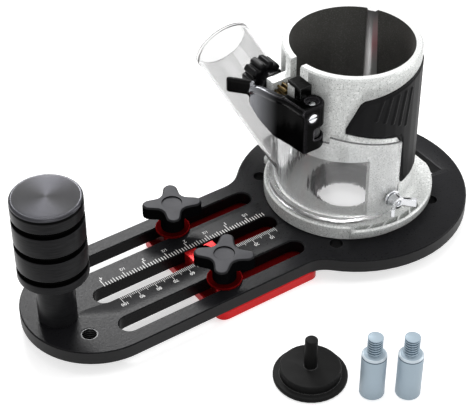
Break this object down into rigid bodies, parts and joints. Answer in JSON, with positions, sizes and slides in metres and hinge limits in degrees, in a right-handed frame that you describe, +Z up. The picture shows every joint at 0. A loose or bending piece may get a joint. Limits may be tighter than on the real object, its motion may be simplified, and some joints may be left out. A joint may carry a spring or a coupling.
{
  "type": "router base",
  "caption": "Fixed router base with clamp lever and clear dust cover on a slotted guide plate with scale, sliding fence, star knobs, upright handle and loose guide pins.",
  "frame": {"origin": "middle of the whole set's footprint, on the surface that it stands on", "axes": "+X along the guide plate from the handle to the router, +Z up along the router's bore"},
  "size_m": [0.2628, 0.2282, 0.1098],
  "materials": {
    "black_anodised": "satin black anodised",
    "cast_silver": "grainy die-cast silver, machined rim",
    "red_anodised": "satin red anodised",
    "bright_steel": "polished",
    "zinc_plate": "blue-white zinc plate",
    "brass": "machined",
    "black_screw": "black oxide",
    "black_rubber": "matt ribbed",
    "matte_black": "fine moulded grain",
    "gloss_black": "glossy moulded",
    "clear_plastic": "clear moulded"
  },
  "bodies": {
    "base": {"base_plate": "black_anodised", "router_casting": "cast_silver", "base_screw_near_front": "bright_steel", "base_screw_near_back": "bright_steel", "base_screw_far_front": "bright_steel", "base_screw_far_back": "bright_steel", "handle_post": "black_anodised", "handle_knob": "black_anodised", "handle_screw": "bright_steel", "grip_front": "black_rubber", "grip_back": "black_rubber", "dust_cover": "clear_plastic", "dust_pipe": "clear_plastic", "wing_washer": "bright_steel", "lever_pivot_pin": "bright_steel", "clamp_bolt": "bright_steel", "clamp_nut": "bright_steel", "clamp_pad": "gloss_black", "depth_collar": "matte_black", "centring_disc": "black_anodised", "guide_pin_back": "zinc_plate", "guide_pin_front": "zinc_plate"},
    "fence": {"fence_plate": "red_anodised", "cursor_block": "red_anodised", "cursor_screw": "black_screw", "clamp_stud_front": "bright_steel", "clamp_stud_back": "bright_steel", "stud_washer_front": "red_anodised", "stud_washer_back": "red_anodised"},
    "front_star_knob": {"star_knob_front": "matte_black"},
    "back_star_knob": {"star_knob_back": "matte_black"},
    "clamp_lever": {"cam_lever": "gloss_black", "lever_set_screw": "bright_steel"},
    "depth_adjuster": {"depth_shaft": "bright_steel", "depth_pinion": "brass", "depth_knob": "gloss_black"},
    "cover_screw": {"wing_screw": "bright_steel"}
  },
  "joints": [
    {"name": "fence_slide", "type": "slide", "parent": "base", "child": "fence", "axis": [1, 0, 0], "range_m": [-0.052, 0.033]},
    {"name": "front_star_knob_turn", "type": "hinge", "parent": "fence", "child": "front_star_knob", "pos_m": [-0.0313, -0.00484, 0.026], "axis": [0, 0, 1], "continuous": true},
    {"name": "back_star_knob_turn", "type": "hinge", "parent": "fence", "child": "back_star_knob", "pos_m": [-0.0313, 0.04384, 0.026], "axis": [0, 0, 1], "continuous": true},
    {"name": "clamp_lever_swing", "type": "hinge", "parent": "base", "child": "clamp_lever", "pos_m": [0.0257, 0.0015, 0.085], "axis": [0, 0, 1], "range_deg": [0, 95]},
    {"name": "depth_adjuster_turn", "type": "hinge", "parent": "base", "child": "depth_adjuster", "pos_m": [0.0228, 0.035, 0.0933], "axis": [0, 1, 0], "continuous": true},
    {"name": "cover_screw_turn", "type": "hinge", "parent": "base", "child": "cover_screw", "pos_m": [0.0642, -0.024, 0.0333], "axis": [0, 1, 0], "continuous": true}
  ]
}
